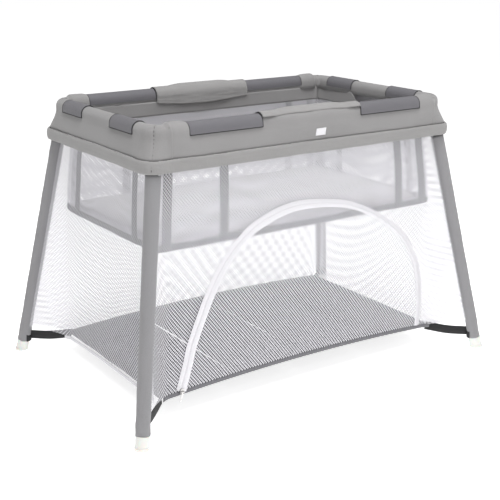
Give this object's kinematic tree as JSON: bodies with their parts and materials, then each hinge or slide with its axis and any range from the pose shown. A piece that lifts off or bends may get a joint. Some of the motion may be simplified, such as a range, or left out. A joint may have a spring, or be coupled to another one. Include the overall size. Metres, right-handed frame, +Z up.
{
  "type": "travel play yard",
  "caption": "Folding travel play yard with flared legs, netting walls, a zip side door, a skirted padded rim and a clip-on bassinet insert.",
  "frame": {"origin": "on the ground under the middle of the yard", "axes": "+X along the long side, -Y towards the front with the zip door, +Z up"},
  "size_m": [1.116, 0.75, 0.7183],
  "materials": {
    "foot_plastic": "satin, slightly translucent",
    "frame_tube": "satin powder coat",
    "bracket_plastic": "matte moulded",
    "clip_plastic": "matte, fabric-faced",
    "pin_steel": "zinc plated",
    "button_plastic": "satin moulded",
    "rim_fabric": "plain woven polyester",
    "netting": "white knitted netting",
    "sleeve_fabric": "plain woven polyester",
    "floor_fabric": "quilted woven polyester",
    "webbing": "woven black webbing",
    "zip_tape": "white woven zip tape",
    "zip_metal": "nickel plated",
    "bassinet_netting": "white knitted netting with grey bindings",
    "bassinet_floor_fabric": "plain woven polyester",
    "mattress_fabric": "quilted woven polyester"
  },
  "bodies": {
    "left_end": {"foot_front_left": "foot_plastic", "foot_back_left": "foot_plastic", "leg_front_left": "frame_tube", "leg_back_left": "frame_tube", "corner_front_left": "bracket_plastic", "corner_back_left": "bracket_plastic", "short_rail_left": "frame_tube", "corner_pins_left": "pin_steel", "skirt_left": "rim_fabric", "netting_left": "netting", "leg_sleeves_left": "sleeve_fabric", "bassinet_wall_left": "bassinet_netting", "end_clips_left": "clip_plastic", "skirt_front": "rim_fabric", "skirt_back": "rim_fabric", "netting_front": "netting", "netting_back": "netting", "floor_panel": "floor_fabric", "floor_straps": "webbing", "door_zip_tape": "zip_tape", "bassinet_wall_front": "bassinet_netting", "bassinet_wall_back": "bassinet_netting", "bassinet_floor": "bassinet_floor_fabric"},
    "right_end": {"foot_front_right": "foot_plastic", "foot_back_right": "foot_plastic", "leg_front_right": "frame_tube", "leg_back_right": "frame_tube", "corner_front_right": "bracket_plastic", "corner_back_right": "bracket_plastic", "short_rail_right": "frame_tube", "corner_pins_right": "pin_steel", "skirt_right": "rim_fabric", "netting_right": "netting", "leg_sleeves_right": "sleeve_fabric", "bassinet_wall_right": "bassinet_netting", "end_clips_right": "clip_plastic"},
    "front_rail_left": {"front_left_rail": "frame_tube", "front_left_lock_housing": "bracket_plastic", "front_left_rail_cover": "rim_fabric", "front_left_clip": "clip_plastic", "centre_pin_front": "pin_steel"},
    "front_rail_right": {"front_right_rail": "frame_tube", "front_right_lock_housing": "bracket_plastic", "front_right_rail_cover": "rim_fabric", "front_right_clip": "clip_plastic"},
    "front_button": {"lock_button_front": "button_plastic"},
    "back_rail_left": {"back_left_rail": "frame_tube", "back_left_lock_housing": "bracket_plastic", "back_left_rail_cover": "rim_fabric", "back_left_clip": "clip_plastic", "centre_pin_back": "pin_steel"},
    "back_rail_right": {"back_right_rail": "frame_tube", "back_right_lock_housing": "bracket_plastic", "back_right_rail_cover": "rim_fabric", "back_right_clip": "clip_plastic"},
    "back_button": {"lock_button_back": "button_plastic"},
    "zip_slider": {"zip_slider": "zip_metal"},
    "zip_pull": {"zip_pull": "zip_metal"},
    "mattress": {"mattress": "mattress_fabric"}
  },
  "joints": [
    {"name": "frame_fold", "type": "hinge", "parent": "left_end", "child": "front_rail_left", "pos_m": [-0.376, -0.256, 0.698], "axis": [0, 1, 0], "range_deg": [0, 80], "deforming": ["skirt_front", "skirt_back", "netting_front", "netting_back", "floor_panel", "floor_straps", "door_zip_tape", "bassinet_wall_front", "bassinet_wall_back", "bassinet_floor", "mattress"]},
    {"name": "front_centre_pivot", "type": "hinge", "parent": "front_rail_left", "child": "front_rail_right", "pos_m": [0, -0.256, 0.71], "axis": [0, -1, 0], "range_deg": [0, 160]},
    {"name": "right_end_pivot", "type": "hinge", "parent": "front_rail_right", "child": "right_end", "pos_m": [0.376, -0.256, 0.698], "axis": [0, 1, 0], "range_deg": [0, 80]},
    {"name": "back_left_pivot", "type": "hinge", "parent": "left_end", "child": "back_rail_left", "pos_m": [-0.376, 0.256, 0.698], "axis": [0, 1, 0], "range_deg": [0, 80]},
    {"name": "back_centre_pivot", "type": "hinge", "parent": "back_rail_left", "child": "back_rail_right", "pos_m": [0, 0.256, 0.71], "axis": [0, -1, 0], "range_deg": [0, 160]},
    {"name": "front_lock_press", "type": "slide", "parent": "front_rail_left", "child": "front_button", "axis": [0, 1, 0], "range_m": [0, 0.003], "stiffness_N_per_m": 600, "springref_m": -0.003},
    {"name": "back_lock_press", "type": "slide", "parent": "back_rail_left", "child": "back_button", "axis": [0, -1, 0], "range_m": [0, 0.003], "stiffness_N_per_m": 600, "springref_m": -0.003},
    {"name": "zip_travel", "type": "slide", "parent": "left_end", "child": "zip_slider", "axis": [0.2983, 0, 0.9545], "range_m": [0, 0.11]},
    {"name": "zip_pull_swing", "type": "hinge", "parent": "zip_slider", "child": "zip_pull", "pos_m": [-0.38, -0.2706, 0.066], "axis": [-0.9545, 0, 0.2983], "range_deg": [0, 165]},
    {"name": "mattress_lift", "type": "slide", "parent": "left_end", "child": "mattress", "axis": [0, 0, 1], "range_m": [0, 0.4]}
  ],
  "couplings": [
    {"joint": "front_centre_pivot", "follows": "frame_fold", "ratio": 2},
    {"joint": "right_end_pivot", "follows": "frame_fold", "ratio": 1},
    {"joint": "back_left_pivot", "follows": "frame_fold", "ratio": 1},
    {"joint": "back_centre_pivot", "follows": "frame_fold", "ratio": 2}
  ]
}
